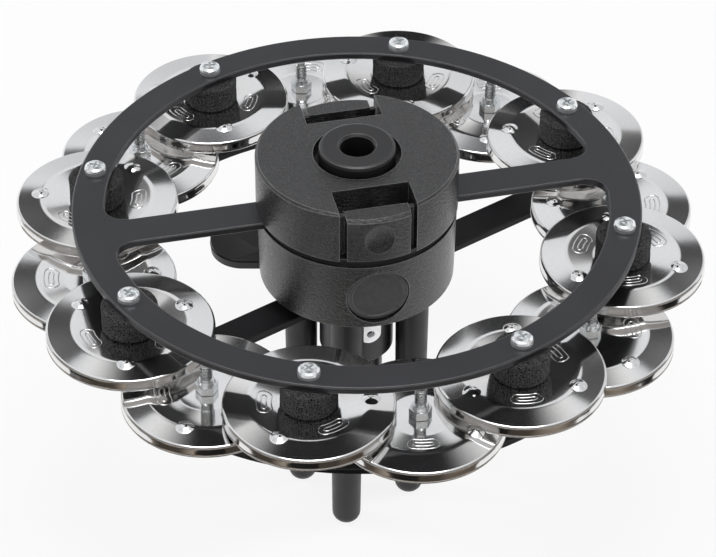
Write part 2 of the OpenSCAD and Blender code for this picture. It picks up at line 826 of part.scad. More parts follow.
// A stamped steel jingle: flat seat, shallow dish, falling rim, turned-down flange and three bumps
module jingle() {
    bend = 0.8;
    crease_z = dish_d;
    edge_z = crease_z - rim_drop;
    foot_z = edge_z - flange_h;
    bump_ball = (bump_r * bump_r + bump_h * bump_h) / (2 * bump_h);
    bump_root = jingle_t / 3;
    color([0.78, 0.77, 0.76]) {
        rotate_extrude($fn = fine)
            polygon([
                [jingle_hole_r, 0], [seat_r, 0], [rim_r, crease_z], [jingle_r - bend, edge_z],
                [jingle_r, edge_z - bend], [jingle_r, foot_z], [jingle_r - jingle_t, foot_z],
                [jingle_r - jingle_t, edge_z - jingle_t - 0.3], [jingle_r - jingle_t - 0.3, edge_z - jingle_t],
                [rim_r, crease_z - jingle_t], [seat_r + 0.1, -jingle_t], [jingle_hole_r, -jingle_t]
            ]);
        for (b = [0:2])
            rotate([0, 0, 120 * b])
                translate([rim_r + 0.6, 0, crease_z])
                    intersection() {
                        translate([0, 0, bump_h - bump_ball])
                            sphere(r = bump_ball, $fn = mid);
                        translate([0, 0, -bump_root])
                            cylinder(r = bump_r + 1, h = bump_h + bump_root + 1, $fn = mid);
                    }
    }
}

module upper_jingle(k) {
    rotate([0, 0, upper_angle(k)])
        translate([screw_circle_r, 0, z_up_seat])
            rotate([0, 0, upper_spins[k]])
                jingle();
}

module lower_jingle(k) {
    rotate([0, 0, lower_angle(k)])
        translate([screw_circle_r, 0, z_low_seat])
            rotate([0, 0, lower_spins[k]])
                jingle();
}

upper_frame();
hub_cap();
hub_housing();
rod_bushing();
hub_badge();
hub_screws();
for (k = [1:4])
    guide_leg(k - 1);
tab(0);  // tab_front
rotate([0, 0, 180]) tab(1);  // tab_rear
lock_plate(0);  // lock_plate_front
rotate([0, 0, 180]) lock_plate(1);  // lock_plate_rear
tab_spring();  // tab_spring_front
rotate([0, 0, 180]) tab_spring();  // tab_spring_rear
lower_frame();
lower_column();
column_nut();
bumper();
clamp_lever();
lever_pin();
clamp_shoe();
collar_lug();
upper_screws();
upper_nuts();
lower_screws();
lower_nuts();
for (k = [1:count]) {
    upper_foam(k - 1);
    lower_foam(k - 1);
    upper_jingle(k - 1);
    lower_jingle(k - 1);
}
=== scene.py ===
"""Looks of the hi-hat tambourine: finishes, jingles, foam sleeves, threads, studio and camera."""
import math

import bmesh
import bpy
from mathutils import Matrix, Vector, noise


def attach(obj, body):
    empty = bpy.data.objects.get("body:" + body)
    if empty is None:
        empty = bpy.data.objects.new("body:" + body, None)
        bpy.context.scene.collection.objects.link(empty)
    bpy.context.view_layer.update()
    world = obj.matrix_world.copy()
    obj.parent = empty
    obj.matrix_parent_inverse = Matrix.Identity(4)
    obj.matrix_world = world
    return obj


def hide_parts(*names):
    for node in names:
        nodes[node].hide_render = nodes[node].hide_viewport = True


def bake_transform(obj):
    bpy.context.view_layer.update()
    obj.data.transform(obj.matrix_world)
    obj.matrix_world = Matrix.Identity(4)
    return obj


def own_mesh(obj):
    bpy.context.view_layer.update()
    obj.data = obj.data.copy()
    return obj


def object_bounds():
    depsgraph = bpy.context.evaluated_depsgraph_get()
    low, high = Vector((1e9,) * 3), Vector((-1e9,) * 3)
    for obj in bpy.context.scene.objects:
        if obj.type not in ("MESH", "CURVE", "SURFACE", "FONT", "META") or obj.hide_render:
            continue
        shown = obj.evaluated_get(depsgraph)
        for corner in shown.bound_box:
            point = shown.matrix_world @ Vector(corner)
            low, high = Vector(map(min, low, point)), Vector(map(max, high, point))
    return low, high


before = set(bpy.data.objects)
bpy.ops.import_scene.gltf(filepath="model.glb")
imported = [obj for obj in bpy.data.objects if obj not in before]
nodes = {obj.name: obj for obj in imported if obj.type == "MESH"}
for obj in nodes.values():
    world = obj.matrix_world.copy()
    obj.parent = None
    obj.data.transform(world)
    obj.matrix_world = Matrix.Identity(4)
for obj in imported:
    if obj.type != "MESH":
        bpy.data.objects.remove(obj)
cad_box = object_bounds()

MM = 0.001
COUNT = 8
SCREW_CIRCLE = 98.0
STEP = 360.0 / COUNT
UPPER_TURN = 22.5
LOWER_TURN = 45.0
UPPER_SPINS = (18, 77, 41, 5, 54, 102, 30, 108)
LOWER_SPINS = (88, 33, 110, 52, 14, 50, 100, 45)

# Levels and places in millimetres, the same as in the solid model
UPPER_PLATE_LOW = 93.6
UPPER_SEAT = 83.7
LOWER_PLATE_TOP = 59.3
LOWER_SEAT = 77.0
SHEET = 0.9
TOUCH = 0.2
SPRING_LEVEL = 105.4
SPRING_START = 21.3
SPRING_END = 28.6
UPPER_THREAD = (73.9, 77.2)
LOWER_THREAD = (82.6, 88.5)

# Jingle profile in millimetres, with z = 0 on the seat
SEAT_R = 10.6
CREASE_R = 20.7
EDGE_R = 30.0
HOLE_R = 2.45
DISH = 0.9
RIM_DROP = 0.5
FLANGE = 4.8
LIFT = 0.2
BEND_R = 1.0
BEAD_R = 0.42
BUMPS = 3
BUMP_R = 2.6
BUMP_H = 0.9
STAMP_W = 0.5
STAMP_H = 0.16
# How far a raised form reaches down into the sheet, and how far its edge stands over it
ROOTED = 0.4
PROUD = 0.01

# Foam, screw threads and springs in millimetres
FOAM_R = 10.05
FOAM_HOLE = 2.2
FOAM_CORNER = 0.5
SHANK_R = 1.94
CREST_R = 2.14
PITCH = 0.7
WIRE_R = 0.4
COIL_R = 2.6
COIL_TURNS = 4
TURN_STEPS = 28

# Radius in millimetres over which worn edges are softened and the painted edge highlight spreads
EDGE_SOFT = 0.45


# Finishes

def material(name, metal=0.0):
    """A new node material: its tree and its shader."""
    made = bpy.data.materials.new(name)
    made.use_nodes = True
    shader = made.node_tree.nodes["Principled BSDF"]
    shader.inputs["Metallic"].default_value = metal
    return made, made.node_tree, shader


def coordinates(tree):
    node = tree.nodes.new("ShaderNodeTexCoord")
    return node.outputs["Object"]


def noise_node(tree, scale, detail=3.0, rough=0.55):
    node = tree.nodes.new("ShaderNodeTexNoise")
    node.inputs["Scale"].default_value = scale
    node.inputs["Detail"].default_value = detail
    node.inputs["Roughness"].default_value = rough
    tree.links.new(coordinates(tree), node.inputs["Vector"])
    return node


def varied_colour(tree, shader, dark, light, scale):
    """Base colour that drifts between two tones."""
    ramp = tree.nodes.new("ShaderNodeValToRGB")
    ramp.color_ramp.elements[0].position = 0.3
    ramp.color_ramp.elements[1].position = 0.7
    ramp.color_ramp.elements[0].color = (*dark, 1)
    ramp.color_ramp.elements[1].color = (*light, 1)
    tree.links.new(noise_node(tree, scale).outputs["Fac"], ramp.inputs["Fac"])
    tree.links.new(ramp.outputs["Color"], shader.inputs["Base Color"])


def varied_roughness(tree, shader, low, high, scale):
    spread = tree.nodes.new("ShaderNodeMapRange")
    spread.inputs["From Min"].default_value = 0.3
    spread.inputs["From Max"].default_value = 0.7
    spread.inputs["To Min"].default_value = low
    spread.inputs["To Max"].default_value = high
    tree.links.new(noise_node(tree, scale).outputs["Fac"], spread.inputs["Value"])
    tree.links.new(spread.outputs["Result"], shader.inputs["Roughness"])


def soft_edges(tree):
    """A normal that is rounded along the edges."""
    edges = tree.nodes.new("ShaderNodeBevel")
    edges.samples = 4
    edges.inputs["Radius"].default_value = EDGE_SOFT * MM
    return edges.outputs["Normal"]


def paint_edge_highlight(tree, shader, highlight_tone):
    """Painted highlight: lightens the base colour along the edges, where rounded edges would catch the
    light.
    """
    facing = tree.nodes.new("ShaderNodeNewGeometry")
    alike = tree.nodes.new("ShaderNodeVectorMath")
    alike.operation = "DOT_PRODUCT"
    tree.links.new(soft_edges(tree), alike.inputs[0])
    tree.links.new(facing.outputs["Normal"], alike.inputs[1])
    highlight_share = tree.nodes.new("ShaderNodeMapRange")
    highlight_share.inputs["From Min"].default_value = 0.995
    highlight_share.inputs["From Max"].default_value = 0.93
    tree.links.new(alike.outputs["Value"], highlight_share.inputs["Value"])
    blend = tree.nodes.new("ShaderNodeMix")
    blend.data_type = "RGBA"
    blend.inputs["B"].default_value = (highlight_tone, highlight_tone, highlight_tone, 1)
    tree.links.new(highlight_share.outputs["Result"], blend.inputs["Factor"])
    tree.links.new(shader.inputs["Base Color"].links[0].from_socket, blend.inputs["A"])
    tree.links.new(blend.outputs["Result"], shader.inputs["Base Color"])


def grain(tree, shader, start, *layers):
    """Bump from noise layers of (scale, strength, depth in millimetres), one on the other."""
    last = start
    for scale, strength, depth in layers:
        bump = tree.nodes.new("ShaderNodeBump")
        bump.inputs["Strength"].default_value = strength
        bump.inputs["Distance"].default_value = depth * MM
        tree.links.new(noise_node(tree, scale).outputs["Fac"], bump.inputs["Height"])
        if last is not None:
            tree.links.new(last, bump.inputs["Normal"])
        last = bump.outputs["Normal"]
    tree.links.new(last, shader.inputs["Normal"])


def finish(name, dark, light, rough, metal=0.0, drift=40.0, layers=(), worn=False, gloss=0.5, edge=0.0):
    """A finish between two tones and two roughnesses, with grain, worn edges and a painted highlight
    along the edges.
    """
    made, tree, shader = material(name, metal)
    varied_colour(tree, shader, dark, light, drift)
    varied_roughness(tree, shader, rough[0], rough[1], drift * 3)
    shader.inputs["Specular IOR Level"].default_value = gloss
    if layers:
        grain(tree, shader, soft_edges(tree) if worn else None, *layers)
    # edge is the tone of the painted highlight laid along the edges
    if edge:
        paint_edge_highlight(tree, shader, edge)
    return made


# The edge numbers below paint a highlight along the edges of the powder coats, hub, bushing and badge.
POWDER = finish("powder_coat", (0.0055, 0.0055, 0.0065), (0.0085, 0.0085, 0.0100), (0.34, 0.42),
                layers=((700, 0.05, 0.1), (2600, 0.10, 0.1)), worn=True, gloss=0.68, edge=0.08)
# Painted shade: the lower frame gets a darker, less glossy copy of the same powder coat, standing in for
# the shade it lies in under the hub.
SHADED_POWDER = finish("powder_coat_painted_shade", (0.0035, 0.0035, 0.0042), (0.0060, 0.0060, 0.0070), (0.42, 0.50),
                    layers=((700, 0.05, 0.1), (2600, 0.10, 0.1)), worn=True, gloss=0.2, edge=0.05)
HUB = finish("hub_plastic", (0.0002, 0.0002, 0.0002), (0.0170, 0.0170, 0.0178), (0.14, 0.30),
             drift=1000, layers=((1000, 1.0, 0.22), (2000, 1.0, 0.12)), gloss=0.90, edge=0.11)
BUSHING = finish("bushing_plastic", (0.0040, 0.0040, 0.0045), (0.0065, 0.0065, 0.0070), (0.30, 0.38),
                 layers=((2200, 0.08, 0.1),), worn=True, gloss=0.68, edge=0.08)
SMOOTH = finish("smooth_plastic", (0.0050, 0.0050, 0.0055), (0.0085, 0.0085, 0.0090), (0.36, 0.46),
                layers=((1800, 0.16, 0.1),), worn=True)
BADGE = finish("badge_plastic", (0.0290, 0.0290, 0.0300), (0.0430, 0.0430, 0.0445), (0.28, 0.36),
               drift=600, layers=((1300, 0.6, 0.1),), gloss=0.7, edge=0.06)
RUBBER = finish("rubber", (0.006, 0.006, 0.006), (0.011, 0.011, 0.011), (0.7, 0.85),
                layers=((1200, 0.3, 0.15),))
ZINC = finish("zinc_plate", (0.78, 0.81, 0.82), (0.90, 0.92, 0.93), (0.17, 0.27), 0.9, drift=300,
              layers=((900, 0.04, 0.1),))
# Painted shade: the thread ridges get a darker copy of the zinc, standing in for the dark lines of shade
# along a screw thread.
THREAD_SHADE = finish("thread_painted_shade", (0.40, 0.41, 0.42), (0.52, 0.53, 0.54), (0.20, 0.30), 1.0, drift=300,
                layers=((900, 0.04, 0.1),))
STEEL = finish("plain_steel", (0.46, 0.46, 0.48), (0.58, 0.58, 0.60), (0.28, 0.40), 1.0, drift=200,
               layers=((600, 0.06, 0.1),))
WIRE = finish("spring_wire", (0.05, 0.05, 0.053), (0.08, 0.08, 0.084), (0.30, 0.42), 1.0, drift=400,
              layers=((1500, 0.08, 0.05),))
BRASS = finish("brass", (0.66, 0.50, 0.24), (0.76, 0.60, 0.31), (0.25, 0.38), 1.0, drift=200,
               layers=((800, 0.06, 0.1),))
# Painted reflection: the plated lug gets a plain white, non-metal colour in place of its mirror image of
# the white backdrop.
PAINTED_LUG_REFLECTION = finish("lug_painted_reflection", (0.88, 0.88, 0.89), (0.95, 0.95, 0.96), (0.30, 0.42), drift=300,
             layers=((900, 0.03, 0.1),))
NICKEL = finish("polished_nickel", (0.79, 0.785, 0.78), (0.82, 0.815, 0.81), (0.085, 0.11), 1.0,
                drift=900, layers=((2600, 0.03, 0.03),))


def turned_sheen(made):
    """Stretches the gloss across the fine rings that polishing leaves round the axis."""
    tree = made.node_tree
    shader = tree.nodes["Principled BSDF"]
    round_axis = tree.nodes.new("ShaderNodeTangent")
    round_axis.direction_type = "RADIAL"
    round_axis.axis = "Z"
    tree.links.new(round_axis.outputs["Tangent"], shader.inputs["Tangent"])
    shader.inputs["Anisotropic"].default_value = 0.7
    shader.inputs["Anisotropic Rotation"].default_value = 0.25


turned_sheen(NICKEL)
POWDER.node_tree.nodes["Principled BSDF"].inputs["Specular Tint"].default_value = (0.96, 0.97, 1.0, 1)


def foam_finish():
    """Open-cell foam: painted shade darkens the pores between thin lighter walls."""
    made, tree, shader = material("open_cell_foam")
    cells = tree.nodes.new("ShaderNodeTexVoronoi")
    cells.feature = "DISTANCE_TO_EDGE"
    cells.inputs["Scale"].default_value = 1250
    tree.links.new(coordinates(tree), cells.inputs["Vector"])
    # Painted shade: the pores go near black, as shade falls into them, and the cell walls keep the
    # foam's dark grey.
    ramp = tree.nodes.new("ShaderNodeValToRGB")
    ramp.color_ramp.elements[0].position = 0.02
    ramp.color_ramp.elements[1].position = 0.24
    ramp.color_ramp.elements[0].color = (0.046, 0.046, 0.046, 1)
    ramp.color_ramp.elements[1].color = (0.0003, 0.0003, 0.0003, 1)
    tree.links.new(cells.outputs["Distance"], ramp.inputs["Fac"])
    tree.links.new(ramp.outputs["Color"], shader.inputs["Base Color"])
    varied_roughness(tree, shader, 0.85, 0.98, 400)
    shader.inputs["Specular IOR Level"].default_value = 0.15
    grain(tree, shader, None, (1300, 0.8, 0.4), (3000, 0.5, 0.2))
    return made


FOAM = foam_finish()

CAD_FINISHES = {
    "upper_frame": POWDER, "lower_frame": SHADED_POWDER, "lower_column": POWDER,
    "hub_cap": HUB, "hub_housing": HUB, "hub_badge": BADGE, "rod_bushing": BUSHING,
    "tab_front": HUB, "tab_rear": HUB, "lock_plate_front": STEEL, "lock_plate_rear": STEEL,
    "column_nut": ZINC, "bumper": RUBBER, "collar_lug": PAINTED_LUG_REFLECTION,
    "clamp_lever": SMOOTH, "lever_pin": STEEL, "clamp_shoe": BRASS,
    "hub_screws": ZINC, "upper_screws": ZINC, "upper_nuts": ZINC,
    "lower_screws": ZINC, "lower_nuts": ZINC,
}
for leg in range(1, 5):
    CAD_FINISHES[f"guide_leg_{leg}"] = SMOOTH
for node_name, coat in CAD_FINISHES.items():
    mesh = nodes[node_name].data
    mesh.materials.clear()
    mesh.materials.append(coat)


# Mesh helpers

def make_object(name, bm, coat, sharp_deg=None):
    mesh = bpy.data.meshes.new(name)
    bm.normal_update()
    bm.to_mesh(mesh)
    bm.free()
    mesh.materials.append(coat)
    for face in mesh.polygons:
        face.use_smooth = True
    if sharp_deg is not None:
        mesh.set_sharp_from_angle(angle=math.radians(sharp_deg))
    made = bpy.data.objects.new(name, mesh)
    bpy.context.scene.collection.objects.link(made)
    return made


def lathe(bm, profile, segments):
    """Turns a closed profile of (radius, height) millimetres round Z."""
    rings = []
    for i in range(segments):
        a = 2 * math.pi * i / segments
        along, across = math.cos(a) * MM, math.sin(a) * MM
        rings.append([bm.verts.new((r * along, r * across, z * MM)) for r, z in profile])
    count = len(profile)
    for i in range(segments):
        here, there = rings[i], rings[(i + 1) % segments]
        for j in range(count):
            k = (j + 1) % count
            bm.faces.new((here[j], there[j], there[k], here[k]))


def sheet_of(bm, rows, closed_rows=False, closed_columns=False):
    """Faces over a grid of points in millimetres, given row by row."""
    grid = [[bm.verts.new(Vector(p) * MM) for p in row] for row in rows]
    n, m = len(grid), len(grid[0])
    for i in range(n if closed_rows else n - 1):
        for j in range(m if closed_columns else m - 1):
            a, b = grid[i], grid[(i + 1) % n]
            k = (j + 1) % m
            bm.faces.new((a[j], a[k], b[k], b[j]))
    return grid


def close_ends(bm, grid):
    """Faces over the first and the last row of a grid whose columns are closed."""
    bm.faces.new(grid[0])
    bm.faces.new(list(reversed(grid[-1])))


def on_circle(angle_deg, radius=SCREW_CIRCLE):
    a = math.radians(angle_deg)
    return radius * math.cos(a), radius * math.sin(a)


# Jingles

def smooth_min(a, b, k):
    """The lesser of two heights, rounded over the width k where they meet."""
    h = max(0.0, min(1.0, 0.5 + 0.5 * (b - a) / k))
    return b + (a - b) * h - k * h * (1 - h)


def skin(r):
    """Height of the jingle's upper face: flat seat, dish, crease and falling rim."""
    crest = DISH + LIFT
    dish = crest * (r - SEAT_R) / (CREASE_R - SEAT_R)
    rim = crest - (RIM_DROP + 2 * LIFT) * (r - CREASE_R) / (EDGE_R - 0.8 - CREASE_R)
    raised = smooth_min(dish, rim, 0.2)
    return -smooth_min(-raised, 0.0, 0.05)


def jingle_profile():
    """Closed outline of the sheet: upper face, bend, flange, rolled bead and under face."""
    start = EDGE_R - BEND_R
    edge = skin(start)
    foot = DISH - RIM_DROP - FLANGE
    upper = []
    r = HOLE_R
    while r < start:
        upper.append((r, skin(r)))
        r += 0.35 if abs(r - CREASE_R) < 1.6 or abs(r - SEAT_R) < 1.2 else 0.9
    low = edge - BEND_R
    turn = [(start + BEND_R * math.sin(t), low + BEND_R * math.cos(t))
            for t in [math.radians(a) for a in range(0, 91, 10)]]
    side = [(EDGE_R, low - (low - foot - 0.7) * i / 4) for i in range(1, 5)]
    bead_x, bead_z = EDGE_R - 0.30, foot + BEAD_R
    bead = [(bead_x + BEAD_R * math.cos(t), bead_z + BEAD_R * math.sin(t))
            for t in [math.radians(a) for a in range(30, -181, -30)]]
    wall = EDGE_R - SHEET
    inner = [(wall, foot + 1.0), (wall, edge - SHEET - 0.5), (wall - 0.5, edge - SHEET)]
    under = [(r, z - SHEET) for r, z in reversed(upper) if r < wall - 1.2]
    return upper + turn + side + bead + inner + under


def bump_cap(bm, turn_deg):
    """A stamped bump that flows into the crease."""
    a = math.radians(turn_deg)
    cx, cy = (CREASE_R + 0.6) * math.cos(a), (CREASE_R + 0.6) * math.sin(a)
    reach = BUMP_R + 0.7
    rows = []
    for i in range(15):
        d = max(reach * i / 14, 0.02)
        row = []
        for j in range(32):
            b = 2 * math.pi * j / 32
            x, y = cx + d * math.cos(b), cy + d * math.sin(b)
            t = d / reach
            lift = BUMP_H * (1 - t * t) ** 2 * (1 + 0.9 * t * t)
            row.append((x, y, skin(math.hypot(x, y)) + lift + 1.2 * PROUD))
        rows.append(row)
    rows.append([(x, y, z - ROOTED) for x, y, z in rows[-1]])
    close_ends(bm, sheet_of(bm, rows, closed_columns=True))


def stamp_path(inner, outer, half_deg, corner):
    """A short band along the dish with rounded ends, as (radius, angle) points."""
    points = []
    middle = (inner + outer) / 2
    for r, sign in ((outer, 1), (inner, -1)):
        for i in range(13):
            points.append((r, sign * (-half_deg + 2 * half_deg * i / 12)))
        for i in range(1, 8):
            t = math.pi * i / 8
            swing = corner * math.sin(t)
            points.append((middle + sign * (outer - inner) / 2 * math.cos(t), sign * (half_deg + swing)))
    return points


def stamp(bm, turn_deg, inner, outer, half_deg, corner):
    """A raised outline on the dish, plain and without meaning."""
    path = stamp_path(inner, outer, half_deg, corner)
    flat = [Vector((*on_circle(turn_deg + a, r), 0)) for r, a in path]
    rows = []
    count = len(flat)
    for i in range(count):
        along = (flat[(i + 1) % count] - flat[i - 1]).normalized()
        across = Vector((-along.y, along.x, 0))
        row = []
        for side, lift in ((-1, 0.0), (-0.55, 0.75), (0, 1.0), (0.55, 0.75), (1, 0.0)):
            p = flat[i] + across * (side * STAMP_W / 2)
            row.append((p.x, p.y, skin(math.hypot(p.x, p.y)) + PROUD + lift * STAMP_H))
        row += [(x, y, z - ROOTED) for x, y, z in (row[-1], row[0])]
        rows.append(row)
    sheet_of(bm, rows, closed_rows=True, closed_columns=True)


def build_jingle():
    """One jingle round the origin, with a pair of stamped outlines between each two bumps."""
    bm = bmesh.new()
    lathe(bm, jingle_profile(), 160)
    apart = 360 / BUMPS
    for k in range(BUMPS):
        bump_cap(bm, apart * k)
        between = apart * (k + 0.5)
        stamp(bm, between, inner=13.0, outer=18.2, half_deg=13, corner=7)
        stamp(bm, between, inner=14.7, outer=16.5, half_deg=9, corner=4)
    bmesh.ops.recalc_face_normals(bm, faces=bm.faces)
    return make_object("jingle_master", bm, NICKEL, 50)


master = build_jingle()
for level, turn, spins, seat in (("upper", UPPER_TURN, UPPER_SPINS, UPPER_SEAT),
                                 ("lower", LOWER_TURN, LOWER_SPINS, LOWER_SEAT)):
    for k in range(COUNT):
        node_name = f"{level}_jingle_{k + 1}"
        angle = turn + STEP * k
        x, y = on_circle(angle)
        dish = master.data.copy()
        dish.transform(Matrix.Rotation(math.radians(angle + spins[k]), 4, "Z"))
        piece = bpy.data.objects.new(f"{level}_dish_{k + 1}", dish)
        bpy.context.scene.collection.objects.link(piece)
        piece.matrix_world = Matrix.Translation(Vector((x, y, seat)) * MM)
        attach(piece, node_name)
        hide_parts(node_name)
bpy.data.objects.remove(master)


# Foam sleeves

def foam_profile(low, high, radius, hole):
    """Closed outline of a sleeve: top ring, side and lower ring, with soft corners."""
    soft = FOAM_CORNER
    points = []
    for i in range(9):
        points.append((hole + (radius - soft - hole) * i / 8, high))
    points.append((radius - soft * 0.3, high - soft * 0.3))
    rows = max(8, int((high - low) / 0.32))
    for i in range(rows + 1):
        points.append((radius, high - soft - (high - low - 2 * soft) * i / rows))
    points.append((radius - soft * 0.3, low + soft * 0.3))
    for i in range(9):
        points.append((radius - soft - (radius - soft - hole) * i / 8, low))
    return points


def build_foam(name, x, y, low, high, seed):
    """A sleeve with open pores, soft ripples and a slight waist on its side."""
    bm = bmesh.new()
    lathe(bm, foam_profile(low, high, FOAM_R, FOAM_HOLE), 150)
    bmesh.ops.recalc_face_normals(bm, faces=bm.faces)
    bm.normal_update()
    shift = Vector((seed * 3.1, seed * 1.7, seed * 0.9))
    middle = (low + high) / 2
    for v in bm.verts:
        p = v.co / MM
        if math.hypot(p.x, p.y) < FOAM_R - 1:
            continue
        near = noise.voronoi((p + shift) * 1.1)[0][0]
        pores = 0.30 * min(1.0, near * 1.6) - 0.22
        ripple = 0.10 * noise.noise((p + shift) * 0.35)
        waist = -0.12 * (1 - ((p.z - middle) / (high - middle)) ** 2)
        out = Vector((p.x, p.y, 0)).normalized()
        v.co += out * (pores + ripple + waist) * MM
    made = make_object(name, bm, FOAM)
    made.data.transform(Matrix.Translation(Vector((x, y, 0)) * MM))
    return made


for k in range(COUNT):
    for level, turn in (("upper", UPPER_TURN), ("lower", LOWER_TURN)):
        x, y = on_circle(turn + STEP * k)
        if level == "upper":
            low, high = UPPER_SEAT + TOUCH, UPPER_PLATE_LOW
            seed = k
        else:
            low, high = LOWER_PLATE_TOP, LOWER_SEAT - SHEET - TOUCH
            seed = k + COUNT + 1
        sleeve = build_foam(f"{level}_sleeve_{k + 1}", x, y, low, high, seed)
        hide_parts(f"{level}_foam_{k + 1}")
        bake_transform(sleeve)


# Threads and springs

def thread(bm, x, y, low, high):
    """A raised screw thread round an upright shank."""
    per_turn = TURN_STEPS
    turns = (high - low) / PITCH
    rows = []
    for i in range(int(turns * per_turn) + 1):
        a = 2 * math.pi * i / per_turn
        z = low + PITCH * i / per_turn
        fade = min(1.0, i / 14, (turns * per_turn - i) / 14)
        top = SHANK_R + (CREST_R - SHANK_R) * max(0.05, fade)
        row = []
        for r, dz in ((SHANK_R, -0.30), (top, -0.06), (top, 0.06), (SHANK_R, 0.30)):
            row.append((x + r * math.cos(a), y + r * math.sin(a), z + dz))
        rows.append(row)
    close_ends(bm, sheet_of(bm, rows, closed_columns=True))


for level, turn, (low, high), body in (("upper", UPPER_TURN, UPPER_THREAD, "upper_unit"),
                                       ("lower", LOWER_TURN, LOWER_THREAD, "lower_unit")):
    bm = bmesh.new()
    for k in range(COUNT):
        x, y = on_circle(turn + STEP * k)
        thread(bm, x, y, low, high)
    bmesh.ops.recalc_face_normals(bm, faces=bm.faces)
    ridge = make_object(f"{level}_threads", bm, THREAD_SHADE, 40)
    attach(ridge, body)


def build_spring(name, side):
    """A smooth wound spring between the notch's back wall and a tab."""
    bm = bmesh.new()
    steps = COIL_TURNS * TURN_STEPS
    rows = []
    for i in range(steps + 1):
        u = i / steps
        a = 2 * math.pi * COIL_TURNS * u
        out = Vector((math.cos(a), 0, math.sin(a)))
        ahead = SPRING_START + (SPRING_END - SPRING_START) * u
        centre = Vector((0, -ahead, SPRING_LEVEL)) + out * COIL_R
        row = []
        for j in range(10):
            b = 2 * math.pi * j / 10
            row.append(centre + WIRE_R * (out * math.cos(b) + Vector((0, 1, 0)) * math.sin(b)))
        rows.append(row)
    close_ends(bm, sheet_of(bm, rows, closed_columns=True))
    if side > 0:
        half_turn = Matrix.Rotation(math.pi, 3, "Z")
        bmesh.ops.rotate(bm, verts=bm.verts, cent=(0, 0, 0), matrix=half_turn)
    bmesh.ops.recalc_face_normals(bm, faces=bm.faces)
    return make_object(name, bm, WIRE, 60)


for tab, side in (("front", -1), ("rear", 1)):
    coil_piece = build_spring(f"coil_{tab}", side)
    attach(coil_piece, "upper_unit")
    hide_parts(f"tab_spring_{tab}")
    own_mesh(coil_piece)


# Studio

FLOOR_Z = cad_box[0][2] - 0.0003
ROOM_PATCH = 9.0
CARD_BLACK = (0.012, 0.012, 0.013)
FLOOR_BLACK = (0.012, 0.012, 0.012)
SIDE_GREY = (0.05, 0.05, 0.052)
WALL_GREY = (0.25, 0.24, 0.23)
FLOOR_BROWN = (0.165, 0.138, 0.112)
CARD_FAR = 2.6


def seen_plainly(tree):
    """1 for rays that show the background: camera, glossy and transmission rays."""
    path = tree.nodes.new("ShaderNodeLightPath")
    last = path.outputs["Is Camera Ray"]
    for name in ("Is Glossy Ray", "Is Transmission Ray"):
        either = tree.nodes.new("ShaderNodeMath")
        either.operation = "MAXIMUM"
        tree.links.new(last, either.inputs[0])
        tree.links.new(path.outputs[name], either.inputs[1])
        last = either.outputs[0]
    return last


def build_world():
    """A dim even fill, and white with soft panels where the background shows."""
    world = bpy.data.worlds.new("studio")
    bpy.context.scene.world = world
    world.use_nodes = True
    tree = world.node_tree
    tree.nodes.clear()
    out = tree.nodes.new("ShaderNodeOutputWorld")
    mix = tree.nodes.new("ShaderNodeMixShader")
    fill = tree.nodes.new("ShaderNodeBackground")
    fill.inputs["Color"].default_value = (1, 1, 1, 1)
    fill.inputs["Strength"].default_value = 0.45
    white = tree.nodes.new("ShaderNodeBackground")
    white.inputs["Color"].default_value = (0.93, 0.945, 0.97, 1)
    around = tree.nodes.new("ShaderNodeTexCoord")
    panels = tree.nodes.new("ShaderNodeTexNoise")
    panels.inputs["Scale"].default_value = 2.4
    panels.inputs["Detail"].default_value = 0.0
    tree.links.new(around.outputs["Generated"], panels.inputs["Vector"])
    level = tree.nodes.new("ShaderNodeMapRange")
    level.inputs["From Min"].default_value = 0.35
    level.inputs["From Max"].default_value = 0.65
    level.inputs["To Min"].default_value = 0.74
    level.inputs["To Max"].default_value = 1.0
    tree.links.new(panels.outputs["Fac"], level.inputs["Value"])
    path = tree.nodes.new("ShaderNodeLightPath")
    plain = tree.nodes.new("ShaderNodeMath")
    plain.operation = "MAXIMUM"
    tree.links.new(level.outputs["Result"], plain.inputs[0])
    tree.links.new(path.outputs["Is Camera Ray"], plain.inputs[1])
    tree.links.new(plain.outputs[0], white.inputs["Strength"])
    tree.links.new(seen_plainly(tree), mix.inputs["Fac"])
    tree.links.new(fill.outputs["Background"], mix.inputs[1])
    tree.links.new(white.outputs["Background"], mix.inputs[2])
    tree.links.new(mix.outputs["Shader"], out.inputs["Surface"])


def build_floor():
    """A wide pale floor that keeps the shadow."""
    made = bpy.data.materials.new("pale_floor")
    made.use_nodes = True
    tree = made.node_tree
    tree.nodes.clear()
    out = tree.nodes.new("ShaderNodeOutputMaterial")
    mix = tree.nodes.new("ShaderNodeMixShader")
    matt = tree.nodes.new("ShaderNodeBsdfDiffuse")
    matt.inputs["Color"].default_value = (0.85, 0.85, 0.85, 1)
    glow = tree.nodes.new("ShaderNodeEmission")
    glow.inputs["Color"].default_value = (0.935, 0.935, 0.935, 1)
    share = tree.nodes.new("ShaderNodeMath")
    share.operation = "MULTIPLY"
    share.inputs[1].default_value = 0.9
    tree.links.new(seen_plainly(tree), share.inputs[0])
    tree.links.new(share.outputs[0], mix.inputs["Fac"])
    tree.links.new(matt.outputs["BSDF"], mix.inputs[1])
    tree.links.new(glow.outputs["Emission"], mix.inputs[2])
    tree.links.new(mix.outputs["Shader"], out.inputs["Surface"])
    bm = bmesh.new()
    bmesh.ops.create_circle(bm, cap_ends=True, radius=6.0, segments=64)
    floor = make_object("floor", bm, made)
    floor.location.z = FLOOR_Z


